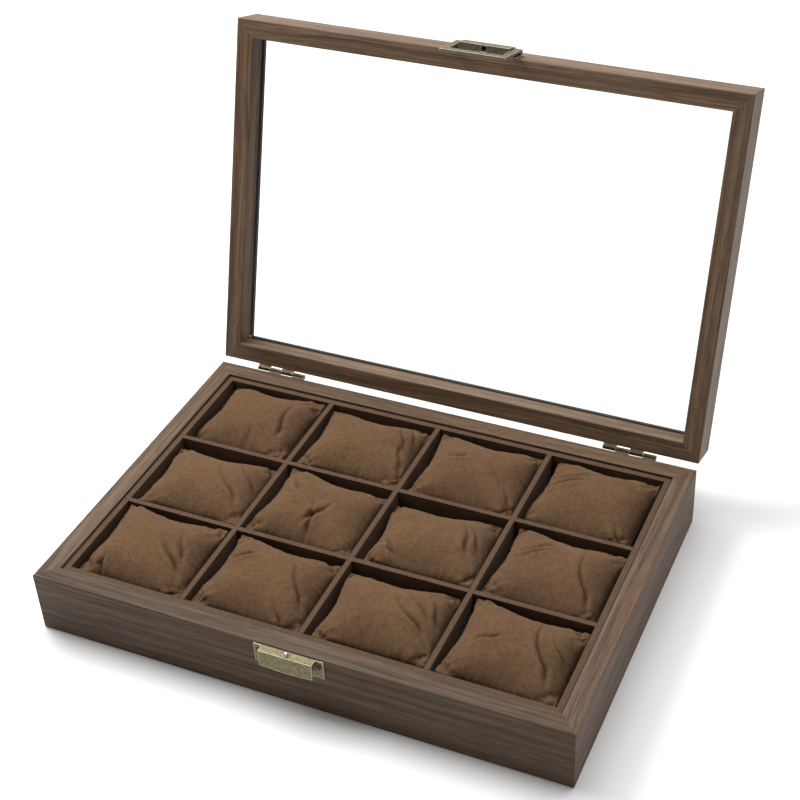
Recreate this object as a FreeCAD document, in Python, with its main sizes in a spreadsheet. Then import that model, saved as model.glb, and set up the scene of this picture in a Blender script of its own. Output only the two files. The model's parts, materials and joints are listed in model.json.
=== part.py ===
import FreeCAD, Part
import os
import re

import Sketcher

# Watch box: a mitred wooden tray of twelve lined cells, each with a pillow, under a glazed wooden lid.
# The lid turns on two butt hinges at the back and is held by a hook-and-ring latch at the front.
# +Z is up, -Y is the front, and the origin is the centre of the underside of the tray.
# The lid's pieces are drawn closed, then placed open, which is the pose the model is stored in.

SIZES = {
    # tray
    "box_width": 315,
    "box_depth": 216,
    "base_height": 39.5,
    "wall_thick": 11,
    "edge_round": 0.6,
    "bottom_thick": 3.5,
    # lining and dividers
    "floor_thick": 1.2,
    "liner_gap": 0.6,
    "liner_thick": 3.4,
    "liner_top": 38,
    "divider_thick": 3,
    "divider_play": 0.1,
    "column_count": 4,
    "row_count": 3,
    # pillows
    "pillow_play": 1.6,
    "pillow_height": 39,
    "pillow_round": 9,
    # lid frame and glass, heights measured up from the joint with the tray
    "lid_height": 25,
    "lid_angle": 107,
    "glass_level": 13.3,
    "glass_thick": 2,
    "glass_play": 0.1,
    "glass_grip": 3,
    "lip_level": 18.1,
    "bevel_run": 4,
    "bead_width": 0.6,
    "bead_height": 0.4,
    "gasket_thick": 0.3,
    "glazing_radius": 0.9,
    "glazing_proud": 0.8,
    "glazing_shank": 4,
    # hinges
    "hinge_centre": 116,
    "hinge_span": 33,
    "hinge_offset": 2.3,
    "leaf_thick": 0.8,
    "leaf_reach": 9.5,
    "leaf_start": 0.4,
    "barrel_radius": 1.4,
    "knuckle_count": 4,
    "knuckle_gap": 0.15,
    "knuckle_room": 2.8,
    "pin_radius": 0.75,
    "pin_play": 0.05,
    # hinge screws
    "screw_spacing": 10,
    "screw_level": 6,
    "screw_head": 1.8,
    "screw_proud": 0.7,
    "screw_radius": 0.9,
    "screw_length": 8,
    # latch plates, one on the tray and its mirror image on the lid, a little right of the middle
    "latch_shift": 0.8,
    "plate_width": 40.6,
    "plate_height": 12,
    "sheet_thick": 0.8,
    "hook_width": 31.2,
    "hook_reach": 5,
    "hook_drop": 10,
    "hook_bow": 0.8,
    "hook_flare": 0.4,
    "keeper_below": 0.9,
    "hasp_above": 0.4,
    "lip_start": 1.6,
    "lip_lean": 0.7,
    "nail_offset": 17.8,
    "nail_level": 4,
    "nail_head": 1.3,
    "nail_proud": 0.5,
    "nail_radius": 0.6,
    "nail_length": 7,
    # stud on the keeper and its slot in the lid's plate
    "stud_radius": 1.4,
    "stud_neck": 0.4,
    "stud_shank": 0.7,
    "slot_width": 3.4,
    # latch ring
    "ring_width": 40,
    "ring_arm": 4,
    "ring_bar": 5.3,
    "ring_thick": 1.4,
    "ring_proud": 1.2,
    "ring_drop": 26.7,
    "ring_axis_up": 9.2,
    "ring_droop": 4,
    "ring_axis_out": 2.5,
    "ring_rod": 1.6,
}

doc = FreeCAD.newDocument("WatchBox")
sheet = doc.addObject("Spreadsheet::Sheet", "Sizes")
nodes = []


def fill_sheet():
    """One row per driving dimension: its name, then its value under the same alias."""
    for row, (alias, number) in enumerate(SIZES.items(), start=1):
        sheet.set(f"A{row}", alias)
        sheet.set(f"B{row}", str(number))
        sheet.setAlias(f"B{row}", alias)
    doc.recompute()


def formula(text):
    """A sum of sheet aliases, written the way the document's expressions need it."""
    return re.sub(r"[a-z]\w*", lambda word: "Sizes." + word.group(), str(text))


def value(text):
    return float(sheet.evalExpression(formula(text)))


def bind(item, prop, text):
    item.setExpression(prop, formula(text))


def keep(item, node):
    """Name the finished piece after its node and put it on the list of pieces to write."""
    item.Label = node
    nodes.append(item)
    return item


# ---------------------------------------------------------------- Part Design helpers

def new_body(name):
    return doc.addObject("PartDesign::Body", name + "_body")


def new_sketch(body, role, offset="0"):
    """A sketch on one of the body's origin planes, moved along the plane's normal by offset."""
    plane = next(item for item in body.Origin.OriginFeatures if item.Role == role)
    sketch = body.newObject("Sketcher::SketchObject", body.Name + "_sketch")
    sketch.AttachmentSupport = (plane, [""])
    sketch.MapMode = "FlatFace"
    bind(sketch, "AttachmentOffset.Base.z", offset)
    return sketch


def pin_point(sketch, curve, end, corner):
    """Hold one end of a curve at a place given by two expressions."""
    for kind, text in zip(("DistanceX", "DistanceY"), corner):
        index = sketch.addConstraint(Sketcher.Constraint(kind, -1, 1, curve, end, value(text)))
        bind(sketch, f"Constraints[{index}]", text)


def outline(sketch, corners):
    """A closed outline of straight lines through corners, each a pair of expressions."""
    points = [FreeCAD.Vector(value(x), value(y), 0) for x, y in corners]
    first = sketch.GeometryCount
    count = len(points)
    for index, point in enumerate(points):
        sketch.addGeometry(Part.LineSegment(point, points[(index + 1) % count]), False)
    for index, corner in enumerate(corners):
        following = first + (index + 1) % count
        sketch.addConstraint(Sketcher.Constraint("Coincident", first + index, 2, following, 1))
        pin_point(sketch, first + index, 1, corner)


def circle(sketch, centre, radius):
    middle = FreeCAD.Vector(value(centre[0]), value(centre[1]), 0)
    normal = FreeCAD.Vector(0, 0, 1)
    curve = sketch.addGeometry(Part.Circle(middle, normal, value(radius)), False)
    pin_point(sketch, curve, 3, centre)
    index = sketch.addConstraint(Sketcher.Constraint("Radius", curve, value(radius)))
    bind(sketch, f"Constraints[{index}]", radius)


def pad(body, sketch, length, symmetric=False):
    feature = body.newObject("PartDesign::Pad", body.Name + "_pad")
    feature.Profile = sketch
    feature.Midplane = symmetric
    bind(feature, "Length", length)
    doc.recompute()
    return feature


def pocket(body, sketch):
    """Cut the sketch right through the body both ways, and make sure that something came off."""
    before = body.Shape.Volume
    feature = body.newObject("PartDesign::Pocket", body.Name + "_pocket")
    feature.Profile = sketch
    feature.Type = "ThroughAll"
    feature.Midplane = True
    doc.recompute()
    if body.Shape.Volume > before - 1e-6:
        raise RuntimeError(f"{feature.Name} cuts nothing")
    return feature


# ---------------------------------------------------------------- Part helpers

ALONG = {
    "X": FreeCAD.Rotation(FreeCAD.Vector(0, 1, 0), 90),
    "Y": FreeCAD.Rotation(FreeCAD.Vector(1, 0, 0), -90),
    "-Y": FreeCAD.Rotation(FreeCAD.Vector(1, 0, 0), 90),
    "Z": FreeCAD.Rotation(),
}


def place(item, start):
    for axis, text in zip("xyz", start):
        bind(item, f"Placement.Base.{axis}", text)


def block(name, start, size):
    """A box from its lowest corner, with its three sizes."""
    item = doc.addObject("Part::Box", name)
    for prop, text in zip(("Length", "Width", "Height"), size):
        bind(item, prop, text)
    place(item, start)
    return item


def rod(name, start, direction, radius, length):
    item = doc.addObject("Part::Cylinder", name)
    bind(item, "Radius", radius)
    bind(item, "Height", length)
    item.Placement.Rotation = ALONG[direction]
    place(item, start)
    return item


def fuse(name, items):
    item = doc.addObject("Part::MultiFuse", name)
    item.Shapes = items
    return item


def cut(name, base, tools):
    item = doc.addObject("Part::Cut", name)
    item.Base = base
    item.Tool = fuse(name + "_tools", tools) if len(tools) > 1 else tools[0]
    return item


def group(name, items):
    """Several loose copies of one fastener, kept together as one piece."""
    item = doc.addObject("Part::Compound", name)
    item.Links = items
    return item


# ---------------------------------------------------------------- tray

HALF_WIDTH = "box_width / 2"
HALF_DEPTH = "box_depth / 2"
FRONT = "-box_depth / 2"
FLOOR = "(bottom_thick + floor_thick)"
LINED_HALF_WIDTH = "(box_width / 2 - wall_thick - liner_gap - liner_thick)"
LINED_HALF_DEPTH = "(box_depth / 2 - wall_thick - liner_gap - liner_thick)"
COLUMN_PITCH = f"((2 * {LINED_HALF_WIDTH} + divider_thick) / column_count)"
ROW_PITCH = f"((2 * {LINED_HALF_DEPTH} + divider_thick) / row_count)"


def mitred_plan(side):
    """Plan of the board on one side, cut at 45 degrees where it meets its neighbours."""
    inner_x = f"({HALF_WIDTH} - wall_thick)"
    inner_y = f"({HALF_DEPTH} - wall_thick)"
    if side in ("front", "back"):
        sign = "-1" if side == "front" else "1"
        return [(f"-{HALF_WIDTH}", f"{sign} * {HALF_DEPTH}"), (HALF_WIDTH, f"{sign} * {HALF_DEPTH}"),
                (inner_x, f"{sign} * {inner_y}"), (f"-1 * {inner_x}", f"{sign} * {inner_y}")]
    sign = "-1" if side == "left" else "1"
    return [(f"{sign} * {HALF_WIDTH}", f"-{HALF_DEPTH}"), (f"{sign} * {HALF_WIDTH}", HALF_DEPTH),
            (f"{sign} * {inner_x}", inner_y), (f"{sign} * {inner_x}", f"-1 * {inner_y}")]


def mitred_board(node, side, start, height):
    body = new_body(node)
    sketch = new_sketch(body, "XY_Plane", start)
    outline(sketch, mitred_plan(side))
    ease_long_edges(body, pad(body, sketch, height), side)
    return body


def ease_long_edges(body, board, side):
    """Round the four long edges of a board, which run from mitre to mitre."""
    length = FreeCAD.Vector(1, 0, 0) if side in ("front", "back") else FreeCAD.Vector(0, 1, 0)
    long_edges = [f"Edge{number}" for number, edge in enumerate(board.Shape.Edges, start=1)
                  if abs(edge.tangentAt(edge.FirstParameter).dot(length)) > 0.999]
    eased = body.newObject("PartDesign::Fillet", f"{body.Name}_eased")
    eased.Base = (board, long_edges)
    bind(eased, "Radius", "edge_round")
    return eased


def make_tray():
    for side in ("front", "back", "left", "right"):
        node = side + "_wall"
        keep(mitred_board(node, side, "0", "base_height"), node)
    inner_x = f"({HALF_WIDTH} - wall_thick)"
    inner_y = f"({HALF_DEPTH} - wall_thick)"
    bottom = block("bottom", (f"-1 * {inner_x}", f"-1 * {inner_y}", "0"),
                   (f"2 * {inner_x}", f"2 * {inner_y}", "bottom_thick"))
    keep(bottom, "bottom_panel")


def make_lining():
    """A lined floor, and four lined boards that stand on it just inside the walls."""
    outer_x = f"({LINED_HALF_WIDTH} + liner_thick)"
    outer_y = f"({LINED_HALF_DEPTH} + liner_thick)"
    floor = block("floor", (f"-1 * {outer_x}", f"-1 * {outer_y}", "bottom_thick"),
                  (f"2 * {outer_x}", f"2 * {outer_y}", "floor_thick"))
    keep(floor, "floor_lining")
    height = f"liner_top - {FLOOR}"
    long_size = (f"2 * {outer_x}", "liner_thick", height)
    short_size = ("liner_thick", f"2 * {LINED_HALF_DEPTH}", height)
    starts = {
        "front": ((f"-1 * {outer_x}", f"-1 * {outer_y}", FLOOR), long_size),
        "back": ((f"-1 * {outer_x}", LINED_HALF_DEPTH, FLOOR), long_size),
        "left": ((f"-1 * {outer_x}", f"-1 * {LINED_HALF_DEPTH}", FLOOR), short_size),
        "right": ((LINED_HALF_WIDTH, f"-1 * {LINED_HALF_DEPTH}", FLOOR), short_size),
    }
    for side, (start, size) in starts.items():
        keep(block(side + "_liner_board", start, size), side + "_liner")


def centred_places(count, pitch):
    """Places of count equally spaced things, centred on zero."""
    return [f"{index - (count - 1) / 2} * {pitch}" for index in range(count)]


def make_divider(node, role, offset, half_length, crossings, slots_at_top):
    """An upright board with a half-height slot wherever another divider crosses it."""
    end = f"({half_length} - divider_play)"
    half_slot = "(divider_thick / 2 + divider_play)"
    middle = f"({FLOOR} + liner_top) / 2"
    plain, slotted = (FLOOR, "liner_top") if slots_at_top else ("liner_top", FLOOR)
    corners = [(f"-1 * {end}", plain), (f"-1 * {end}", slotted)]
    for crossing in crossings:
        corners += [(f"{crossing} - {half_slot}", slotted), (f"{crossing} - {half_slot}", middle),
                    (f"{crossing} + {half_slot}", middle), (f"{crossing} + {half_slot}", slotted)]
    corners += [(end, slotted), (end, plain)]
    body = new_body(node)
    sketch = new_sketch(body, role, offset)
    outline(sketch, corners)
    pad(body, sketch, "divider_thick", symmetric=True)
    keep(body, node)


def make_dividers():
    column_lines = centred_places(SIZES["column_count"] - 1, COLUMN_PITCH)
    row_lines = centred_places(SIZES["row_count"] - 1, ROW_PITCH)
    for number, row in enumerate(row_lines, start=1):
        make_divider(f"long_divider_{number}", "XZ_Plane", f"-1 * ({row})", LINED_HALF_WIDTH, column_lines, True)
    for number, column in enumerate(column_lines, start=1):
        make_divider(f"short_divider_{number}", "YZ_Plane", column, LINED_HALF_DEPTH, row_lines, False)


def make_pillow(node, centre_x, centre_y):
    """A plain cushion that fills its cell, with a little room all round."""
    half_x = f"(({COLUMN_PITCH} - divider_thick) / 2 - pillow_play)"
    half_y = f"(({ROW_PITCH} - divider_thick) / 2 - pillow_play)"
    body = new_body(node)
    sketch = new_sketch(body, "XY_Plane", f"{FLOOR} + 0.3")
    outline(sketch, [(f"{centre_x} - {half_x}", f"{centre_y} - {half_y}"),
                     (f"{centre_x} + {half_x}", f"{centre_y} - {half_y}"),
                     (f"{centre_x} + {half_x}", f"{centre_y} + {half_y}"),
                     (f"{centre_x} - {half_x}", f"{centre_y} + {half_y}")])
    cushion = pad(body, sketch, "pillow_height")
    rounding = body.newObject("PartDesign::Fillet", node + "_rounding")
    rounding.Base = (cushion, [""])
    rounding.UseAllEdges = True
    bind(rounding, "Radius", "pillow_round")
    body.Tip = rounding
    keep(body, node)


def make_pillows():
    """Rows are numbered from the back, columns from the left."""
    columns = centred_places(SIZES["column_count"], COLUMN_PITCH)
    rows = centred_places(SIZES["row_count"], ROW_PITCH)[::-1]
    for row_number, row in enumerate(rows, start=1):
        for column_number, column in enumerate(columns, start=1):
            make_pillow(f"pillow_r{row_number}_c{column_number}", column, row)


# ---------------------------------------------------------------- lid

def on_lid(level):
    return f"(base_height + {level})"


def open_lid(item):
    """Turn a piece that was drawn closed about the hinge axis, back to its open place."""
    axis_point = FreeCAD.Vector(0, value(f"{HALF_DEPTH} + hinge_offset"), value("base_height"))
    turn = FreeCAD.Rotation(FreeCAD.Vector(-1, 0, 0), value("lid_angle"))
    item.Placement = FreeCAD.Placement(FreeCAD.Vector(), turn, axis_point).multiply(item.Placement)
    return item


def make_rail(side):
    """A mitred rail with a groove for the glass and a bevel above it on the inner edge."""
    node = f"lid_{side}_rail"
    body = mitred_board(node, side, "base_height", "lid_height")
    across = "box_depth" if side in ("front", "back") else "box_width"
    sign = "-1" if side in ("front", "left") else "1"
    inner = f"({across} / 2 - wall_thick)"
    role = "YZ_Plane" if side in ("front", "back") else "XZ_Plane"
    groove = new_sketch(body, role)
    groove_top = on_lid("glass_level + glass_thick + glass_play")
    outline(groove, [(f"{sign} * ({inner} - glass_grip)", on_lid("glass_level")),
                     (f"{sign} * ({inner} + glass_grip)", on_lid("glass_level")),
                     (f"{sign} * ({inner} + glass_grip)", groove_top),
                     (f"{sign} * ({inner} - glass_grip)", groove_top)])
    pocket(body, groove)
    bevel = new_sketch(body, role)
    outline(bevel, [(f"{sign} * {inner}", on_lid("lip_level")),
                    (f"{sign} * ({inner} + bevel_run)", on_lid("lid_height")),
                    (f"{sign} * {inner}", on_lid("lid_height"))])
    pocket(body, bevel)
    keep(open_lid(body), node)


def make_lid():
    for side in ("front", "back", "left", "right"):
        make_rail(side)
    edge_x = f"({HALF_WIDTH} - wall_thick + glass_grip - glass_play)"
    edge_y = f"({HALF_DEPTH} - wall_thick + glass_grip - glass_play)"
    glass = new_body("glass")
    pane = new_sketch(glass, "XY_Plane", on_lid("glass_level + glass_play / 2"))
    outline(pane, [(f"-1 * {edge_x}", f"-1 * {edge_y}"), (edge_x, f"-1 * {edge_y}"),
                   (edge_x, edge_y), (f"-1 * {edge_x}", edge_y)])
    pad(glass, pane, "glass_thick")
    keep(open_lid(glass), "lid_glass")
    glass_under = "glass_level + glass_play / 2"
    glass_top = f"{glass_under} + glass_thick"
    make_glass_frame("glass_bead", f"{glass_under} - bead_height", "bead_height", "bead_width")
    make_glass_frame("glass_gasket", glass_top, f"lip_level - ({glass_top})", "gasket_thick")
    make_glazing_pin()


def make_glass_frame(node, level, height, width):
    """A thin dark strip that runs round the lid's opening, against the inner faces of the rails."""
    body = new_body(node)
    sketch = new_sketch(body, "XY_Plane", on_lid(f"({level})"))
    for inset in ("0", width):
        half_x = f"({HALF_WIDTH} - wall_thick - {inset})"
        half_y = f"({HALF_DEPTH} - wall_thick - {inset})"
        outline(sketch, [(f"-1 * {half_x}", f"-1 * {half_y}"), (half_x, f"-1 * {half_y}"),
                         (half_x, half_y), (f"-1 * {half_x}", half_y)])
    pad(body, sketch, height)
    keep(open_lid(body), node)


def make_glazing_pin():
    """The one pin whose head shows on the left rail, under the glass in the back corner."""
    start = (f"-({HALF_WIDTH}) + wall_thick - glazing_shank", f"{HALF_DEPTH} - wall_thick - glazing_radius * 1.5",
             on_lid("glass_level - glazing_radius * 1.5"))
    head_start = (f"-({HALF_WIDTH}) + wall_thick", start[1], start[2])
    shank = rod("glazing_shank", start, "X", "glazing_radius / 2", "glazing_shank")
    head = rod("glazing_head", head_start, "X", "glazing_radius", "glazing_proud")
    glazing_pin = fuse("glazing", [shank, head])
    doc.recompute()
    keep(open_lid(glazing_pin), "glazing_pin")


# ---------------------------------------------------------------- hinges

AXIS_Y = "(box_depth / 2 + hinge_offset)"
KNUCKLE = "(hinge_span / knuckle_count)"


def make_leaf(node, left_end, up):
    """A leaf on the back face with every second knuckle: up is 1 on the lid, whose knuckles turn on
    the pin, and -1 on the tray, whose knuckles grip it."""
    plate_base = "leaf_start" if up > 0 else "-leaf_reach"
    parts = [block(node + "_plate", (left_end, HALF_DEPTH, f"base_height + {plate_base}"),
                   ("hinge_span", "leaf_thick", "leaf_reach - leaf_start"))]
    tools = []
    for index in range(SIZES["knuckle_count"]):
        start_x = f"{left_end} + {index} * {KNUCKLE}"
        own = (index % 2 == 0) == (up > 0)
        if own:
            knuckle_x = f"{start_x} + knuckle_gap / 2"
            length = f"{KNUCKLE} - knuckle_gap"
            neck_base = "0" if up > 0 else "-leaf_start - leaf_thick"
            parts.append(rod(f"{node}_barrel_{index}", (knuckle_x, AXIS_Y, "base_height"), "X",
                             "barrel_radius", length))
            parts.append(block(f"{node}_neck_{index}", (knuckle_x, HALF_DEPTH, f"base_height + {neck_base}"),
                               (length, "hinge_offset / 2", "leaf_start + leaf_thick")))
        else:
            room_base = "0" if up > 0 else "-knuckle_room"
            tools.append(block(f"{node}_room_{index}",
                               (f"{start_x} - knuckle_gap / 2", f"{HALF_DEPTH} - 1", f"base_height + {room_base}"),
                               (f"{KNUCKLE} + knuckle_gap", "hinge_offset + 1", "knuckle_room")))
    bore_radius = "pin_radius + pin_play" if up > 0 else "pin_radius"
    tools.append(rod(node + "_bore", (f"{left_end} - 1", AXIS_Y, "base_height"), "X",
                     bore_radius, "hinge_span + 2"))
    for number, side in enumerate((-1, 1)):
        hole = (f"{left_end} + hinge_span / 2 + {side} * screw_spacing", f"{HALF_DEPTH} - 1",
                f"base_height + {up} * screw_level")
        tools.append(rod(f"{node}_hole_{number}", hole, "Y", "screw_radius + pin_play", "leaf_thick + 2"))
    leaf = cut(node + "_leaf", fuse(node + "_solid", parts), tools)
    doc.recompute()
    return leaf


def make_screw(name, centre_x, up):
    """A round-headed wood screw with a slot, driven forwards through a leaf."""
    level = f"base_height + {up} * screw_level"
    under_head = f"{HALF_DEPTH} + leaf_thick"
    head = rod(name + "_head", (centre_x, under_head, level), "Y", "screw_head", "screw_proud")
    shank = rod(name + "_shank", (centre_x, f"{under_head} - screw_length", level), "Y",
                "screw_radius", "screw_length")
    slot = block(name + "_slot", (f"{centre_x} - screw_head", f"{under_head} + screw_proud / 2",
                                  f"{level} - screw_proud / 4"),
                 ("2 * screw_head", "screw_proud", "screw_proud / 2"))
    return cut(name + "_cut", fuse(name + "_solid", [head, shank]), [slot])


def make_hinges():
    box_screws = []
    lid_screws = []
    for name, sign in (("left", -1), ("right", 1)):
        left_end = f"({sign} * hinge_centre - hinge_span / 2)"
        keep(make_leaf(f"{name}_hinge_box_leaf", left_end, -1), f"{name}_hinge_box_leaf")
        keep(open_lid(make_leaf(f"{name}_hinge_lid_leaf", left_end, 1)), f"{name}_hinge_lid_leaf")
        keep(rod(f"{name}_pin", (left_end, AXIS_Y, "base_height"), "X", "pin_radius", "hinge_span"),
             f"{name}_hinge_pin")
        for number, side in enumerate((-1, 1)):
            centre_x = f"{sign} * hinge_centre + {side} * screw_spacing"
            box_screws.append(make_screw(f"{name}_box_screw_{number}", centre_x, -1))
            lid_screws.append(make_screw(f"{name}_lid_screw_{number}", centre_x, 1))
    keep(group("box_screws", box_screws), "box_hinge_screws")
    lid_group = group("lid_screws", lid_screws)
    doc.recompute()
    keep(open_lid(lid_group), "lid_hinge_screws")


# ---------------------------------------------------------------- latch

KEEPER_TOP = "(base_height - keeper_below)"
HASP_BOTTOM = "(base_height + hasp_above)"


def shift_latch(item):
    """Move a finished piece of the latch along the front, off the middle of the box."""
    shift = FreeCAD.Placement(FreeCAD.Vector(value("latch_shift"), 0, 0), FreeCAD.Rotation())
    item.Placement = shift.multiply(item.Placement)
    return item


def make_latch_plate(node, root, up):
    """A sheet plate folded out into a hook that points away from the joint, at height root."""
    def level(distance):
        return f"{root} + {up} * ({distance})"

    body = new_body(node)
    hook = new_sketch(body, "YZ_Plane")
    outer = f"{FRONT} - hook_reach"
    inner = f"{outer} + sheet_thick"
    tip = "hook_drop + hook_bow"
    lean = "-hook_flare" if up < 0 else "lip_lean"
    bend = "sheet_thick" if up < 0 else "hook_drop - lip_start + hook_bow"
    outline(hook, [(FRONT, root), (outer, root), (outer, level(bend)), (f"{outer} + {lean}", level(tip)),
                   (f"{inner} + {lean}", level(tip)), (inner, level(f"{bend} + sheet_thick / 4")),
                   (inner, level("sheet_thick")), (FRONT, level("sheet_thick"))])
    pad(body, hook, "hook_width", symmetric=True)
    trim_bow(body, level)

    plate = new_sketch(body, "XZ_Plane", HALF_DEPTH)
    outline(plate, [("-plate_width / 2", root), ("plate_width / 2", root),
                    ("plate_width / 2", level("plate_height")), ("-plate_width / 2", level("plate_height"))])
    pad(body, plate, "sheet_thick")

    holes = new_sketch(body, "XZ_Plane")
    for side in (-1, 1):
        circle(holes, (f"{side} * nail_offset", level("nail_level")), "nail_radius + pin_play")
    pocket(body, holes)
    return body


def trim_bow(body, level):
    """Trim the hook's free edge to a shallow arc that is longest in the middle."""
    sketch = new_sketch(body, "XZ_Plane")
    half = "hook_width / 2"
    ends = level("hook_drop")
    middle = level("hook_drop + hook_bow")
    clear = level("hook_drop + 2 * hook_bow + 1")
    corners = [(f"-{half}", ends), (f"-{half} - 1", ends), (f"-{half} - 1", clear),
               (f"{half} + 1", clear), (f"{half} + 1", ends), (half, ends)]
    points = [FreeCAD.Vector(value(x), value(y), 0) for x, y in corners]
    crown = FreeCAD.Vector(0, value(middle), 0)
    for start, end in zip(points, points[1:]):
        sketch.addGeometry(Part.LineSegment(start, end), False)
    arc = sketch.addGeometry(Part.Arc(points[0], crown, points[-1]), False)
    for index in range(len(points) - 2):
        sketch.addConstraint(Sketcher.Constraint("Coincident", index, 2, index + 1, 1))
    for index, corner in enumerate(corners[:-1]):
        pin_point(sketch, index, 1, corner)
    pin_point(sketch, len(corners) - 2, 2, corners[-1])
    for line, line_end in ((0, 1), (len(corners) - 2, 2)):
        near = points[0] if line == 0 else points[-1]
        arc_end = 1 if sketch.getPoint(arc, 1).distanceToPoint(near) < 1e-6 else 2
        sketch.addConstraint(Sketcher.Constraint("Coincident", arc, arc_end, line, line_end))
    radius = "((hook_width / 2) ^ 2 + hook_bow ^ 2) / (2 * hook_bow)"
    index = sketch.addConstraint(Sketcher.Constraint("Radius", arc, value(radius)))
    bind(sketch, f"Constraints[{index}]", radius)
    pocket(body, sketch)


STUD_Y = f"({FRONT} - hook_reach / 2 - sheet_thick / 4)"


def make_keeper():
    keeper = make_latch_plate("keeper", KEEPER_TOP, -1)
    hole = new_sketch(keeper, "XY_Plane")
    circle(hole, ("0", STUD_Y), "stud_shank")
    pocket(keeper, hole)
    keep(shift_latch(keeper), "keeper_plate")

    shank = rod("stud_shank", ("0", STUD_Y, f"{KEEPER_TOP} - sheet_thick"), "Z", "stud_shank", "sheet_thick")
    neck = rod("stud_neck", ("0", STUD_Y, KEEPER_TOP), "Z", "stud_radius", "stud_neck")
    dome = doc.addObject("Part::Sphere", "stud_dome")
    dome.Angle1 = 0
    bind(dome, "Radius", "stud_radius")
    place(dome, ("0", STUD_Y, f"{KEEPER_TOP} + stud_neck"))
    keep(shift_latch(fuse("stud", [shank, neck, dome])), "keeper_stud")


def make_nails(node, root, up):
    """Round-headed nails through both ears of a latch plate."""
    nails = []
    under_head = f"{FRONT} - sheet_thick"
    level = f"{root} + {up} * nail_level"
    for number, side in enumerate((-1, 1)):
        x = f"{side} * nail_offset"
        head = rod(f"{node}_head_{number}", (x, under_head, level), "-Y", "nail_head", "nail_proud")
        shank = rod(f"{node}_shank_{number}", (x, under_head, level), "Y", "nail_radius", "nail_length")
        nails.append(fuse(f"{node}_{number}", [head, shank]))
    return group(node + "_pair", nails)


def make_hasp():
    hasp = make_latch_plate("hasp", HASP_BOTTOM, 1)
    slot = new_sketch(hasp, "XY_Plane")
    slot_back = f"{FRONT} - 1.5 * sheet_thick"
    slot_front = f"{FRONT} - hook_reach + sheet_thick"
    outline(slot, [("-slot_width / 2", slot_front), ("slot_width / 2", slot_front),
                   ("slot_width / 2", slot_back), ("-slot_width / 2", slot_back)])
    pocket(hasp, slot)
    keep(open_lid(shift_latch(hasp)), "hasp_plate")
    nails = make_nails("hasp_nails", HASP_BOTTOM, 1)
    doc.recompute()
    keep(open_lid(shift_latch(nails)), "hasp_nails")


def make_ring():
    """A rectangular ring: two flat arms and a bar, on a round rod that turns in the channel of the
    lid's plate. The arms lie a little proud of the rod, nearly level with the hook's outer face,
    and they hang a few degrees in from it, which is how the ring grips the keeper when shut."""
    axis_z = "(base_height + ring_axis_up)"
    axis_out = f"({HALF_DEPTH} + ring_axis_out)"
    body = new_body("ring")
    flat = new_sketch(body, "XZ_Plane", f"{axis_out} + ring_proud")
    inner = "(ring_width / 2 - ring_arm)"
    bottom = f"{axis_z} - ring_drop"
    outline(flat, [("-ring_width / 2", axis_z), ("-ring_width / 2", bottom),
                   ("ring_width / 2", bottom), ("ring_width / 2", axis_z),
                   (inner, axis_z), (inner, f"{bottom} + ring_bar"),
                   (f"-1 * {inner}", f"{bottom} + ring_bar"), (f"-1 * {inner}", axis_z)])
    pad(body, flat, "ring_thick", symmetric=True)
    pivot = new_sketch(body, "YZ_Plane")
    circle(pivot, (f"-1 * {axis_out}", axis_z), "ring_rod")
    pad(body, pivot, "ring_width", symmetric=True)
    pivot_point = FreeCAD.Vector(0, -value(axis_out), value(axis_z))
    droop = FreeCAD.Rotation(FreeCAD.Vector(1, 0, 0), value("ring_droop"))
    body.Placement = FreeCAD.Placement(FreeCAD.Vector(), droop, pivot_point)
    keep(open_lid(shift_latch(body)), "latch_ring")


# ---------------------------------------------------------------- build, check and write

def check_document():
    for item in doc.Objects:
        if "Invalid" in item.State or "Error" in item.State:
            raise RuntimeError(f"{item.Name} did not build: {item.State}")
    for item in nodes:
        if item.Shape.isNull() or not item.Shape.isValid():
            raise RuntimeError(f"{item.Label} has no valid shape")


def write_parts():
    os.makedirs("parts", exist_ok=True)
    for item in nodes:
        item.Shape.exportStep(f"parts/{item.Label}.step")
        solids = len(item.Shape.Solids)
        print(f"{item.Label}: {item.Shape.Volume:.1f} mm3, {solids} solid(s)")


def main():
    fill_sheet()
    make_tray()
    make_lining()
    make_dividers()
    make_pillows()
    make_lid()
    make_hinges()
    make_keeper()
    keep(shift_latch(make_nails("keeper_nails", KEEPER_TOP, -1)), "keeper_nails")
    make_hasp()
    make_ring()
    doc.recompute()
    check_document()
    write_parts()
    print(f"{len(nodes)} pieces")


main()
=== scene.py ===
import json
import math
import random

import bpy
import numpy as np
from mathutils import Matrix, Vector

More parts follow.
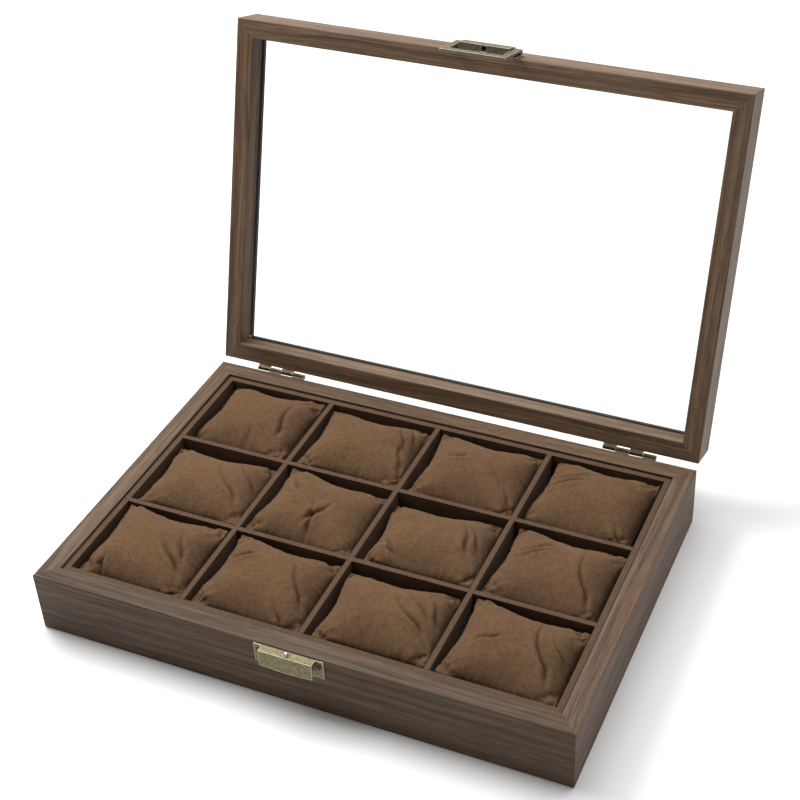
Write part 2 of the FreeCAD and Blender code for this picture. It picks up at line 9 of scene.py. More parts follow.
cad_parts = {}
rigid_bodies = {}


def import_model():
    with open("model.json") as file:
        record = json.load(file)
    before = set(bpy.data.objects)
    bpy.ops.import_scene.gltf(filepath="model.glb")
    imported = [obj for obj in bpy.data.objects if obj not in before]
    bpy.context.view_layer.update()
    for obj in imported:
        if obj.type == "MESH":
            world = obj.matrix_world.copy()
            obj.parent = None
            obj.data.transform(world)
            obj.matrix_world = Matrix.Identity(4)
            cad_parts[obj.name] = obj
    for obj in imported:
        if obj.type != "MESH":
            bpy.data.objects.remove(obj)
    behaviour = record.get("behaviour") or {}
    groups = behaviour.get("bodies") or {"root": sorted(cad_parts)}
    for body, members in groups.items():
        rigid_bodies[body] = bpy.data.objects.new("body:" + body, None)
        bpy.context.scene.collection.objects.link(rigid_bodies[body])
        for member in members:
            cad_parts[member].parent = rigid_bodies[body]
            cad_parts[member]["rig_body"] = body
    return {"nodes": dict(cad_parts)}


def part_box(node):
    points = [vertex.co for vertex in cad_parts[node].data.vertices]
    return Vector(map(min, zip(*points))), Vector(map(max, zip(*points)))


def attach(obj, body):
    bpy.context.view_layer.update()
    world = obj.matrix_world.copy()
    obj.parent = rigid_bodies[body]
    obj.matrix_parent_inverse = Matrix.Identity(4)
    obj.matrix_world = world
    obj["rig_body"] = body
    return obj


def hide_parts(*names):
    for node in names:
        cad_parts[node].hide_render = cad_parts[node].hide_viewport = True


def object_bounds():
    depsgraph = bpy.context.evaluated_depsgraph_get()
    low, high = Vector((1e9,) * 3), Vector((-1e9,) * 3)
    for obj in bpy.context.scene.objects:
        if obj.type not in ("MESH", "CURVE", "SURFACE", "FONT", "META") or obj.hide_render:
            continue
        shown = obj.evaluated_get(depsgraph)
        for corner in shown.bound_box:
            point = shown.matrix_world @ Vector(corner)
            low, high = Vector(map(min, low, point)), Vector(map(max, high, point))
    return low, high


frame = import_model()
cad_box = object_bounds()

MM = 0.001
SCENE = bpy.context.scene

# ---------------------------------------------------------------- camera and light

CAMERA_PLACE = (0.31715, -0.6074, 0.63752)
CAMERA_AZIMUTH = 24.676
CAMERA_ELEVATION = 37.088
CAMERA_ROLL = -2.553
CAMERA_LENS = 72.0
CAMERA_SHIFT = (-0.0375, 0.00625)
SENSOR_WIDTH = 36.0
CLIP_NEAR, CLIP_FAR = 0.01, 50.0

FLOOR_SIZE = 7.0
FLOOR_TONE = (0.93, 0.93, 0.93)
SKY_STRENGTH = 0.18
# name, place, width, height, power: soft boxes that all face the frame's origin, under the tray
SOFT_BOXES = (
    ("overhead", (0.0, 0.7, 2.3), 2.4, 1.8, 50.0),
    ("key", (-0.80, 0.15, 1.10), 0.7, 0.5, 14.0),
    ("right_side", (2.0, 0.1, 1.0), 1.2, 1.2, 1.2),
    ("behind", (-0.8, 2.6, 1.2), 3.2, 2.4, 22.0),
)


def make_camera():
    azimuth, elevation, roll = (math.radians(a) for a in (CAMERA_AZIMUTH, CAMERA_ELEVATION, CAMERA_ROLL))
    back = Vector((math.sin(azimuth) * math.cos(elevation),
                   -math.cos(azimuth) * math.cos(elevation),
                   math.sin(elevation)))
    level = Vector((math.cos(azimuth), math.sin(azimuth), 0))
    upright = back.cross(level)
    right = math.cos(roll) * level + math.sin(roll) * upright
    up = back.cross(right)
    camera = bpy.data.objects.new("camera", bpy.data.cameras.new("camera"))
    SCENE.collection.objects.link(camera)
    camera.matrix_world = Matrix.Translation(CAMERA_PLACE) @ Matrix((right, up, back)).transposed().to_4x4()
    camera.data.lens = CAMERA_LENS
    camera.data.sensor_width = SENSOR_WIDTH
    camera.data.shift_x, camera.data.shift_y = CAMERA_SHIFT
    camera.data.clip_start, camera.data.clip_end = CLIP_NEAR, CLIP_FAR
    SCENE.camera = camera


def make_lights():
    for name, place, width, height, power in SOFT_BOXES:
        light = bpy.data.lights.new(name, "AREA")
        light.shape = "RECTANGLE"
        light.size, light.size_y = width, height
        light.energy = power
        lamp = bpy.data.objects.new(name, light)
        SCENE.collection.objects.link(lamp)
        lamp.location = place
        lamp.rotation_mode = "QUATERNION"
        lamp.rotation_quaternion = Vector(place).to_track_quat("Z", "Y")
    world = bpy.data.worlds.new("studio")
    world.use_nodes = True
    sky = world.node_tree.nodes["Background"]
    sky.inputs["Color"].default_value = (1, 1, 1, 1)
    sky.inputs["Strength"].default_value = SKY_STRENGTH
    SCENE.world = world
    SCENE.view_settings.view_transform = "Standard"


# ---------------------------------------------------------------- node helpers

def paint(name, **sockets):
    """A new material: it, its node tree and its surface shader with the given sockets set."""
    material = bpy.data.materials.new(name)
    material.use_nodes = True
    shader = material.node_tree.nodes["Principled BSDF"]
    for socket, value in sockets.items():
        shader.inputs[socket.replace("_", " ")].default_value = value
    return material, material.node_tree, shader


def fill(tree, socket, given):
    if isinstance(given, bpy.types.NodeSocket):
        tree.links.new(given, socket)
    else:
        socket.default_value = given


def add(tree, kind, *values, **named):
    """A shader node's first output. Values fill its inputs in order, capitalised names fill inputs by name,
    and other names set the node's properties."""
    node = tree.nodes.new("ShaderNode" + kind)
    for name, given in named.items():
        if not name[0].isupper():
            setattr(node, name, given)
    for socket, given in zip(node.inputs, values):
        fill(tree, socket, given)
    for name, given in named.items():
        if name[0].isupper():
            fill(tree, node.inputs[name.replace("_", " ")], given)
    return node.outputs[0]


def mix(tree, factor, first, second, blend="MIX"):
    node = tree.nodes.new("ShaderNodeMix")
    node.data_type = "RGBA"
    node.blend_type = blend
    for index, given in ((0, factor), (6, first), (7, second)):
        fill(tree, node.inputs[index], given)
    return node.outputs[2]


def ramp(tree, factor, *stops):
    """A colour or grey over a factor, from (position, colour) stops."""
    node = tree.nodes.new("ShaderNodeValToRGB")
    fill(tree, node.inputs[0], factor)
    elements = node.color_ramp.elements
    while len(elements) < len(stops):
        elements.new(0.5)
    for element, (position, colour) in zip(elements, stops):
        element.position = position
        element.color = (*colour, 1) if hasattr(colour, "__len__") else (colour, colour, colour, 1)
    return node.outputs[0]


def own_coordinates(tree):
    """Each piece's own coordinates, in metres, which move with it."""
    return tree.nodes.new("ShaderNodeTexCoord").outputs["Object"]


def noise(tree, vector, scale, detail=3.0, roughness=0.5, distortion=0.0):
    return add(tree, "TexNoise", Vector=vector, Scale=scale, Detail=detail, Roughness=roughness,
               Distortion=distortion)


def stretched(tree, vector, factors):
    """Coordinates multiplied along each axis: a large factor makes what is drawn in them fine that way."""
    return add(tree, "VectorMath", vector, factors, operation="MULTIPLY")


def streaks(tree, vector, factors, detail, roughness=0.5):
    """Noise drawn out along the axis with the smallest factor."""
    return noise(tree, stretched(tree, vector, factors), 1.0, detail, roughness)


def bump(tree, shader, height, strength, distance, **named):
    """Lets a height, in relief of the given distance in millimetres, tilt the shader's normal."""
    tree.links.new(add(tree, "Bump", Height=height, Strength=strength, Distance=distance * MM, **named),
                   shader.inputs["Normal"])


def sum_of(tree, *parts):
    """The sum of (socket, weight) parts."""
    total = 0.0
    for socket, weight in parts:
        total = add(tree, "Math", socket, weight, total, operation="MULTIPLY_ADD")
    return total


def edge_mask(tree, radius):
    """1 on edges rounder than radius, 0 on flats."""
    rounded = add(tree, "Bevel", Radius=radius)
    true_normal = tree.nodes.new("ShaderNodeNewGeometry").outputs["True Normal"]
    facing = tree.nodes.new("ShaderNodeVectorMath")
    facing.operation = "DOT_PRODUCT"
    tree.links.new(rounded, facing.inputs[0])
    tree.links.new(true_normal, facing.inputs[1])
    return add(tree, "MapRange", facing.outputs["Value"], 0.99, 0.86, 0.0, 1.0)


def open_share(tree, reach):
    """Ambient occlusion: 1 on open surfaces, towards 0 in folds and corners narrower than reach, where shade
    falls.
    """
    node = tree.nodes.new("ShaderNodeAmbientOcclusion")
    node.samples = 8
    node.inputs["Distance"].default_value = reach
    return node.outputs["AO"]


# ---------------------------------------------------------------- materials

WALNUT_DARK = (0.076, 0.045, 0.027)
WALNUT_MID = (0.129, 0.081, 0.049)
WALNUT_LIGHT = (0.180, 0.120, 0.076)
WALNUT_RED = (0.150, 0.078, 0.040, 1)
WALNUT_PORE = (0.034, 0.021, 0.013, 1)
# the lighter edges' colour and share: partly edge wear, partly painted highlight
WALNUT_WORN_HIGHLIT_EDGE = (0.24, 0.175, 0.125, 1)
WALNUT_EDGE = 0.5 * MM          # edges rounder than this are lighter: partly edge wear, partly painted highlight
SOFT_EDGE = 0.6 * MM            # how far a board's edges look rounded
PORE_SHARE = 0.55
WORN_HIGHLIT_EDGE_SHARE = 0.28


def walnut(name, along, shift, tone=1.0):
    """Matt walnut veneer with its grain along a direction. The shift picks another part of the figure."""
    material, tree, shader = paint(name, Specular_IOR_Level=0.20)
    turn = Vector(along).rotation_difference(Vector((1, 0, 0))).to_euler()
    board = add(tree, "Mapping", Vector=own_coordinates(tree), Location=shift, Rotation=turn)
    sway = streaks(tree, board, (5, 16, 16), 2.0)
    bent = add(tree, "VectorMath", board, stretched(tree, sway, (0, 0.010, 0.010)))
    rings = add(tree, "TexWave", Vector=bent, Scale=46.0, Distortion=2.5, Detail=3.0, Detail_Scale=1.4,
                wave_type="RINGS", rings_direction="X")
    band = streaks(tree, bent, (4, 400, 400), 3.0, 0.6)
    streak = streaks(tree, bent, (14, 1000, 1000), 3.0, 0.6)
    hair = streaks(tree, bent, (60, 2600, 2600), 2.0)
    cloud = streaks(tree, board, (4, 30, 30), 3.0)
    figure = sum_of(tree, (rings, 0.06), (band, 0.34), (streak, 0.44), (cloud, 0.16))
    colour = ramp(tree, figure, (0.40, WALNUT_DARK), (0.50, WALNUT_MID), (0.60, WALNUT_LIGHT))
    tint = streaks(tree, board, (6, 95, 95), 3.0)
    colour = mix(tree, ramp(tree, tint, (0.50, 0.0), (0.68, 0.55)), colour, WALNUT_RED)
    pores = ramp(tree, hair, (0.55, 0.0), (0.66, 1.0))
    colour = mix(tree, add(tree, "Math", pores, PORE_SHARE, operation="MULTIPLY"), colour, WALNUT_PORE)
    # lighter edges: partly edge wear, partly painted highlight
    worn_highlit_edge = add(tree, "Math", edge_mask(tree, WALNUT_EDGE), WORN_HIGHLIT_EDGE_SHARE, operation="MULTIPLY")
    colour = mix(tree, worn_highlit_edge, colour, WALNUT_WORN_HIGHLIT_EDGE)
    # painted light and shade: tone scales the whole board's colour by how its face is lit
    colour = mix(tree, 1.0, colour, (tone, tone, tone, 1), "MULTIPLY")
    tree.links.new(colour, shader.inputs["Base Color"])
    tree.links.new(add(tree, "MapRange", streak, 0.3, 0.7, 0.62, 0.46), shader.inputs["Roughness"])
    height = sum_of(tree, (streak, 0.5), (pores, -0.7))
    bump(tree, shader, height, 0.5, 0.12, Normal=add(tree, "Bevel", Radius=SOFT_EDGE))
    return material


PATCH_SCALE = 60.0
MOTTLE_SCALE = 420.0
FIBRE_SCALE = 2300.0
FOLD_SHADE_REACH = 5.0 * MM           # painted shade: cloth in folds narrower than this is darkened as if shaded
# painted shade in the folds: how strong it is, and its colour against the cloth's darkest
FOLD_SHADE_SHARE = 0.55
FOLD_SHADE_TONE = 0.45


def napped_cloth(name, dark, light, sheen, fuzz=0.12):
    """Suede or velour: a short nap brushed into lighter and darker patches, with painted shade in its folds.
    """
    material, tree, shader = paint(name, Sheen_Weight=sheen, Sheen_Roughness=0.5,
                                   Sheen_Tint=(0.95, 0.72, 0.52, 1), Specular_IOR_Level=0.12, Roughness=0.95)
    place = own_coordinates(tree)
    patches = noise(tree, place, PATCH_SCALE, 4.0, 0.62, 0.6)
    mottle = noise(tree, place, MOTTLE_SCALE, 3.0)
    fibre = noise(tree, place, FIBRE_SCALE, 2.0, 0.7)
    weave = streaks(tree, place, (1500, 1500, 400), 2.0)
    nap = sum_of(tree, (patches, 0.16), (mottle, 0.20), (fibre, 0.42), (weave, 0.22))
    colour = ramp(tree, nap, (0.36, dark), (0.64, light))
    # painted shade: ambient occlusion darkens the cloth in folds and where it meets the walls
    fold_shade = add(tree, "MapRange", open_share(tree, FOLD_SHADE_REACH), 0.35, 0.85, FOLD_SHADE_SHARE, 0.0)
    colour = mix(tree, fold_shade, colour, (*(FOLD_SHADE_TONE * tone for tone in dark), 1))
    tree.links.new(colour, shader.inputs["Base Color"])
    height = sum_of(tree, (fibre, 0.7), (mottle, 0.8), (weave, 0.4))
    bump(tree, shader, height, 0.55, fuzz)
    return material


METAL_EDGE = 0.55 * MM          # edges rounder than this are brighter: partly wear, partly painted highlight
METAL_ROUNDING = 0.3 * MM       # how far a metal piece's edges look rounded
PATINA_ROUGHNESS = 0.22         # how much rougher the patina is than bare metal


def aged_metal(name, dark, light, edge, low_roughness, scale=420.0, metallic=1.0):
    """Plated metal: cloudy patina, fine scratches and bright edges, partly worn and partly painted highlight.
    """
    material, tree, shader = paint(name, Metallic=metallic)
    place = own_coordinates(tree)
    patina = noise(tree, place, scale, 5.0, 0.62, 0.4)
    scratch = streaks(tree, place, (500, 5200, 5200), 2.0)
    colour = ramp(tree, sum_of(tree, (patina, 0.75), (scratch, 0.25)), (0.36, dark), (0.66, light))
    # bright edges: partly wear, partly painted highlight
    colour = mix(tree, edge_mask(tree, METAL_EDGE), colour, (*edge, 1))
    tree.links.new(colour, shader.inputs["Base Color"])
    roughness = add(tree, "MapRange", patina, 0.3, 0.7, low_roughness + PATINA_ROUGHNESS, low_roughness)
    tree.links.new(roughness, shader.inputs["Roughness"])
    height = sum_of(tree, (scratch, 0.5), (patina, 0.8))
    bump(tree, shader, height, 0.35, 0.05, Normal=add(tree, "Bevel", Radius=METAL_ROUNDING))
    return material


def clear_glass():
    """A window pane that lets the lamps through."""
    material, tree, shader = paint("clear_pane", Base_Color=(0.97, 0.985, 0.975, 1), Roughness=0.0, IOR=1.5,
                                   Transmission_Weight=1.0)
    shadow_ray = tree.nodes.new("ShaderNodeLightPath").outputs["Is Shadow Ray"]
    through = add(tree, "BsdfTransparent", Color=(0.96, 0.98, 0.97, 1))
    both = add(tree, "MixShader", shadow_ray, shader.outputs[0], through)
    tree.links.new(both, tree.nodes["Material Output"].inputs["Surface"])
    return material


def fibreboard():
    """The tray's underside: brown felt paper over board."""
    material, tree, shader = paint("felt_paper", Roughness=0.92, Specular_IOR_Level=0.15)
    place = own_coordinates(tree)
    speck = noise(tree, place, 900.0, 4.0, 0.7)
    cloud = noise(tree, place, 24.0, 3.0)
    tone = sum_of(tree, (speck, 0.55), (cloud, 0.45))
    tree.links.new(ramp(tree, tone, (0.35, (0.035, 0.022, 0.015)), (0.68, (0.085, 0.055, 0.037))),
                   shader.inputs["Base Color"])
    bump(tree, shader, speck, 0.5, 0.15)
    return material


def black_strip():
    """A dull near-black finish for the strips along the glass's edges, which draw a dark line round the pane.
    """
    material, tree, shader = paint("black_strip", Roughness=0.6, Specular_IOR_Level=0.25)
    grain = noise(tree, own_coordinates(tree), 700.0, 4.0, 0.6)
    tree.links.new(ramp(tree, grain, (0.35, (0.010, 0.009, 0.009)), (0.65, (0.032, 0.029, 0.027))),
                   shader.inputs["Base Color"])
    bump(tree, shader, grain, 0.4, 0.05)
    return material


def studio_floor():
    material, tree, shader = paint("pale_floor", Roughness=0.85, Specular_IOR_Level=0.1)
    tone = noise(tree, own_coordinates(tree), 2.0, 2.0)
    tree.links.new(ramp(tree, tone, (0.3, FLOOR_TONE), (0.7, tuple(t * 1.02 for t in FLOOR_TONE))),
                   shader.inputs["Base Color"])
    return material


# ---------------------------------------------------------------- dressing the CAD pieces

def wear(node, material):
    """Gives a CAD piece its finish."""
    piece = frame["nodes"][node]
    piece.data.materials.clear()
    piece.data.materials.append(material)


def lid_grain():
    """The direction across the open lid, from its hinges to its latch."""
    low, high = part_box("lid_glass")
    return Vector((0, high.y - low.y, high.z - low.z)).normalized()


def dress_boards():
    """Each board in its own cut of the veneer, with its grain along its length and a brightness of its own:
    painted light and shade, darker on the front wall and lighter on the lid's rails.
    """
    across = lid_grain()
    # grain direction and brightness; the brightness is painted light and shade for each board's face
    board_grain_and_shading = {
        "front_wall": ((1, 0, 0), 0.68),
        "back_wall": ((1, 0, 0), 0.98),
        "left_wall": ((0, 1, 0), 1.0),
        "right_wall": ((0, 1, 0), 0.94),
        "lid_front_rail": ((1, 0, 0), 1.28),
        "lid_back_rail": ((1, 0, 0), 1.28),
        "lid_left_rail": (across, 1.28),
        "lid_right_rail": (across, 1.26),
    }
    for number, (node, (along, tone)) in enumerate(board_grain_and_shading.items()):
        shift = (0.37 * number, 0.071 + 0.013 * (number % 3), 0.094 - 0.017 * (number % 4))
        wear(node, walnut(f"walnut_{node}", along, shift, tone))


def dress_rest():
    """Cloth, metal, glass and paper on every CAD piece that isn't a board. The pillows are replaced later."""
    lining = napped_cloth("lining_velour", (0.070, 0.041, 0.026), (0.128, 0.079, 0.052), 0.05, 0.08)
    # each metal's third colour is its bright edges: partly wear, partly painted highlight
    brass = aged_metal("antique_brass", (0.112, 0.096, 0.051), (0.232, 0.203, 0.115), (0.88, 0.82, 0.65),
                       0.38, scale=700.0, metallic=0.88)
    bronze = aged_metal("hinge_bronze", (0.040, 0.031, 0.019), (0.110, 0.088, 0.054), (0.55, 0.48, 0.34), 0.36)
    bright = aged_metal("bright_stud", (0.55, 0.54, 0.51), (0.78, 0.77, 0.74), (0.9, 0.9, 0.88), 0.18)
    dark = aged_metal("dark_nail", (0.030, 0.025, 0.018), (0.085, 0.072, 0.048), (0.25, 0.22, 0.15), 0.4)
    pale = aged_metal("pale_pin", (0.50, 0.47, 0.40), (0.70, 0.67, 0.60), (0.8, 0.78, 0.7), 0.35, metallic=0.6)
    strip = black_strip()
    # a piece takes the first finish whose word is in its name
    finishes = (
        ("liner", lining), ("divider", lining), ("floor_lining", lining),
        ("hinge_box_leaf", bronze), ("hinge_lid_leaf", bronze), ("hinge_pin", bronze),
        ("hinge_screws", dark), ("keeper_plate", brass), ("hasp_plate", brass), ("latch_ring", brass),
        ("keeper_stud", bright), ("nails", dark), ("glazing_pin", pale),
        ("lid_glass", clear_glass()), ("bottom_panel", fibreboard()),
        ("glass_bead", strip), ("glass_gasket", strip),
    )
    for node in frame["nodes"]:
        for word, material in finishes:
            if word in node:
                wear(node, material)
                break


# ---------------------------------------------------------------- pillows

SIM_SCALE = 0.01            # millimetres to simulated metres: ten times life size, where the solver is steady
PILLOW_WIDTH = 68.0         # the flat bag, seam to seam, in millimetres
PILLOW_DEPTH = 59.0
BAG_STEPS = (52, 46)        # quads along the bag's two sides
BAG_PUFF = 6.0              # half the bag's thickness before it is filled
BAG_WAIST = 0.06            # how far the flat bag's sides already pull in
BAG_JITTER = 0.3            # how irregular the bag's quads are
BAG_SEED = 40
SIM_FRAMES = 22
SIM_CAP = 19.0              # the furthest that filling may move the cloth
CLOTH_QUALITY = 6
CLOTH_MASS = 0.3
CLOTH_BENDING = 0.3
PRESSURE = 24.0
PRESSURE_SPREAD = 0.06      # how far the bags' pressures differ
LEAST_MOVE = 1e-9           # keeps the cap from dividing by nothing
SLACK = -0.14               # negative shrink: the cloth is larger than the seam that gathers it
TOP_HEIGHT = 15.0           # seam to crown
BOTTOM_HEIGHT = 24.5        # seam to the floor of the cell
CORNER_LIFT = 4.0           # the tray's walls push the bag's corners up
FULLNESS = 1.15             # how soon the stuffing fills the cloth behind the seam
SIDE_BULGE = 1.2            # how far the stuffed sides stand out between the corners
ROOM = (33.9, 29.4)         # half the cell, less a little air
WALL_REACH = 3.0            # cloth closer to a wall than this is pressed back
FLOOR_AIR = 0.2             # between a pillow and the floor of its cell
FLATTEN_BELOW = 4.0         # cloth closer to the floor than this is flattened on it
FLATTEN_CURVE = 0.8         # how gently the flattened cloth turns up
FLATTEN_TRIM = 0.8 * math.exp(-8.0)     # a trace that the flattened cloth is lowered by

# turn, lean to the back, lean to the right (degrees), shift right, shift back, rise (mm)
POSTURES = {
    (1, 1): (-5.0, 4.0, -5.0, -0.4, 0.6, 0.4),
    (1, 2): (2.5, -2.0, 2.0, 0.6, -0.2, 0.8),
    (1, 3): (-1.0, 2.0, 1.0, 0.8, 0.4, 0.3),
    (1, 4): (-7.0, 4.5, -4.5, -0.2, 0.4, 0.5),
    (2, 1): (4.0, -4.0, 2.0, 0.5, -0.9, 0.0),
    (2, 2): (-4.0, 2.0, 2.0, 0.6, -0.4, 0.6),
    (2, 3): (5.0, -4.5, 0.5, 0.4, -1.2, -0.2),
    (2, 4): (-4.0, 2.0, -1.0, 0.4, -0.4, 0.2),
    (3, 1): (-2.0, 4.0, -1.0, 0.0, 0.4, 1.2),
    (3, 2): (-3.0, 2.0, 1.0, 0.6, 0.0, 0.8),
    (3, 3): (4.5, -3.5, 1.5, 0.4, -0.8, 0.6),
    (3, 4): (-2.0, 1.0, 2.0, 0.6, 0.2, 0.6),
}
# each crease: from x, y to x, y (mm from the cell's middle), depth in mm, bow to its left
CREASES = {
    (1, 1): ((20, 14, 23, -6, 1.5, -2.0), (4, -8, 6, -19, 0.7, 1.0)),
    (1, 2): ((17, 20, 22, 8, 1.4, -1.0), (22, 22, 27, 12, 1.2, 1.0), (24, 4, 27, -10, 1.3, -2.0)),
    (1, 3): ((8, 8, 18, -8, 1.0, -2.0), (-24, -2, -12, 3, 0.9, 1.5), (20, -4, 26, -16, 1.2, -1.0)),
    (1, 4): ((-26, 6, -10, 12, 1.3, -1.5), (-27, 0, -14, 5, 1.0, -1.0), (20, -14, 27, -22, 1.1, 1.0)),
    (2, 1): ((4, 10, 20, -10, 1.6, -2.5), (15, 18, 26, 4, 1.5, -2.0)),
    (2, 2): ((-3, 2, 3, -17, 1.5, 1.5), (9, 3, 2, -10, 1.6, 1.5), (-27, 16, -20, 9, 1.3, 1.0)),
    (2, 3): ((13, 16, 20, -4, 1.6, 2.0), (17, 14, 25, 0, 1.3, 2.0), (-28, -12, -20, -18, 1.6, 2.5)),
    (2, 4): ((13, 14, 24, -12, 1.9, -3.0), (-26, 4, -10, 12, 1.1, -2.0), (-25, -2, -14, 4, 0.9, -1.5)),
    (3, 1): ((4, 8, 22, -10, 1.9, -2.0), (14, 14, 21, 0, 1.3, -1.0), (-24, -14, -20, -22, 1.7, 2.0)),
    (3, 2): ((12, 14, 24, -6, 1.7, -2.0), (14, -14, 21, -24, 1.4, -1.5), (-26, 2, -18, 8, 1.4, 1.0)),
    (3, 3): ((2, 10, 20, -8, 2.0, -2.5), (9, 16, 20, 3, 1.4, -1.5), (22, 14, 26, 4, 1.3, 1.0)),
    (3, 4): ((9, 20, 21, -10, 2.2, -4.0), (17, 14, 26, 2, 1.3, -1.5), (-22, -10, -12, -3, 1.1, 2.0)),
}
CREASE_WIDTH = 0.9
CREASE_DEPTH = 1.9          # all the creases are this much deeper than listed
CREASE_START = 0.12         # a crease's depth where it starts, against where it ends
CREASE_LEAD = 2.0           # how far a crease fades out ahead of its start
CREASE_REACH = 6.0          # how far a crease runs on past its listed end, towards the seam
CREASE_EDGE = 1.3           # between 1, a sharp V, and 2, a rounded trough
# height against the crease's depth, place to the crease's left and width of the ridges beside it
CREASE_RIDGES = ((0.40, -2.8, 2.4), (0.20, 3.0, 2.4))
RELAX_STEPS = 14            # rounds of smoothing that iron the filled bag's fine gathers
CORNER_FROM, CORNER_SPAN = 0.45, 0.3    # where the ironing stops towards the bag's corners
LEAST_KEPT = 0.12           # how much of the gathers is left elsewhere
PUCKER_DEPTH = 0.30         # small radiating folds at the corners and along the seam
CORNER_TIP = 0.47           # where the corner folds start, against the bag's sides
CORNER_FOLDS = (9, 13)      # the fewest and most of them in a full circle
CORNER_FOLD_AT, CORNER_FOLD_SPAN = 7, 6.5   # where they are deepest, from the tip, and how far they spread
SEAM_SHARE = 0.35           # depth of the folds along the seam, against the corners'
SEAM_AT, SEAM_SPAN = 0.86, 0.09             # where they are deepest, from middle to seam, and their spread
CIRCLE = 6.28
WRINKLE_SEED = 900


def flat_bag(name, seed):
    """Two quad sheets joined along a seam, slightly puffed, in millimetres: verts, faces and seam indices."""
    rng = random.Random(seed)
    columns, rows = BAG_STEPS
    verts, faces, index, seam = [], [], {}, []

    def corner(side, i, j):
        on_seam = i in (0, columns) or j in (0, rows)
        key = (0 if on_seam else side, i, j)
        if key not in index:
            u = 2 * i / columns - 1
            v = 2 * j / rows - 1
            if on_seam:
                seam.append(len(verts))
            else:
                u += rng.uniform(-BAG_JITTER, BAG_JITTER) * 2 / columns
                v += rng.uniform(-BAG_JITTER, BAG_JITTER) * 2 / rows
            puff = math.sqrt(max(0.0, (1 - u ** 4) * (1 - v ** 4)))
            index[key] = len(verts)
            verts.append((u * PILLOW_WIDTH / 2 * (1 - BAG_WAIST * (1 - v * v)),
                          v * PILLOW_DEPTH / 2 * (1 - BAG_WAIST * (1 - u * u)),
                          side * BAG_PUFF * puff))
        return index[key]

    for side in (1, -1):
        for i in range(columns):
            for j in range(rows):
                quad = [corner(side, *at) for at in ((i, j), (i + 1, j), (i + 1, j + 1), (i, j + 1))]
                faces.append(quad if side == 1 else quad[::-1])
    mesh = bpy.data.meshes.new(name)
    mesh.from_pydata(verts, [], faces)
    mesh.update()
    bag = bpy.data.objects.new(name, mesh)
    SCENE.collection.objects.link(bag)
    return bag, seam


def points_of(mesh):
    flat = np.zeros(len(mesh.vertices) * 3)
    mesh.vertices.foreach_get("co", flat)
    return flat.reshape(-1, 3)


def set_points(mesh, points):
    mesh.vertices.foreach_set("co", points.ravel())
    mesh.update()


def fill_bags(bags, seams):
    """Blows all the bags up together with Blender's cloth, their seams held, and keeps plain meshes."""
    for number, bag in enumerate(bags):
        set_points(bag.data, points_of(bag.data) * SIM_SCALE)
        seam = bag.vertex_groups.new(name="seam")
        seam.add(seams[number], 1.0, "REPLACE")
        cloth = bag.modifiers.new("filling", "CLOTH").settings
        cloth.vertex_group_mass = seam.name
        cloth.quality = CLOTH_QUALITY
        cloth.mass = CLOTH_MASS
        cloth.bending_stiffness = CLOTH_BENDING
        cloth.use_pressure = True
        cloth.uniform_pressure_force = PRESSURE * (1 + PRESSURE_SPREAD * math.sin(number * 2.4))
        cloth.shrink_min = SLACK
        cloth.effector_weights.gravity = 0
    for step in range(1, SIM_FRAMES + 1):
        SCENE.frame_set(step)
    graph = bpy.context.evaluated_depsgraph_get()
    for bag in bags:
        start = points_of(bag.data)
        blown = bpy.data.meshes.new_from_object(bag.evaluated_get(graph))
        moved = points_of(blown) - start
        length = np.maximum(np.linalg.norm(moved, axis=1, keepdims=True), LEAST_MOVE)
        capped = moved * np.minimum(1, SIM_CAP * SIM_SCALE / length)
        set_points(blown, (start + capped) / SIM_SCALE)
        bag.modifiers.clear()
        bag.data = blown
    SCENE.frame_set(1)


def iron(mesh):
    """Smooths the gathers out of a filled bag, except at its four corners."""
    points = points_of(mesh)
    ends = np.zeros(len(mesh.edges) * 2, dtype=int)
    mesh.edges.foreach_get("vertices", ends)
    first, second = ends.reshape(-1, 2).T
    neighbours = np.bincount(ends, minlength=len(points))[:, None]
    relaxed = points.copy()
    for _ in range(RELAX_STEPS):
        total = np.zeros_like(points)
        np.add.at(total, first, relaxed[second])
        np.add.at(total, second, relaxed[first])
        relaxed = 0.5 * relaxed + 0.5 * total / neighbours
    u = points[:, 0] / (PILLOW_WIDTH / 2)
    v = points[:, 1] / (PILLOW_DEPTH / 2)
    kept = np.clip((np.abs(u * v) - CORNER_FROM) / CORNER_SPAN, LEAST_KEPT, 1)[:, None]
    set_points(mesh, kept * points + (1 - kept) * relaxed)


def valley(points, crease):
    """How deep each point lies in a bowed crease that opens towards its far end, less the small ridges
    that the cloth throws up beside it."""
    x0, y0, x1, y1, depth, bow = crease
    start = np.array((x0, y0), float)
    run = np.array((x1 - x0, y1 - y0), float)
    length = np.linalg.norm(run)
    along = run / length
    left = np.array((-along[1], along[0]))
    offset = points[:, :2] - start
    share = (offset @ along) / length
    inside = np.clip(share, 0, 1)
    before = np.maximum(-share, 0) * length
    after = np.maximum(share - 1, 0) * length
    sideways = offset @ left - bow * 4 * inside * (1 - inside)
    opening = CREASE_START + (1 - CREASE_START) * inside
    fade = opening * np.exp(-(before / CREASE_LEAD) ** 2 - (after / CREASE_REACH) ** 2)
    ditch = np.exp(-(np.abs(sideways) / CREASE_WIDTH) ** CREASE_EDGE)
    ridges = sum(height * np.exp(-((sideways - place) / width) ** 2) for height, place, width in CREASE_RIDGES)
    return CREASE_DEPTH * depth * fade * (ditch - ridges)


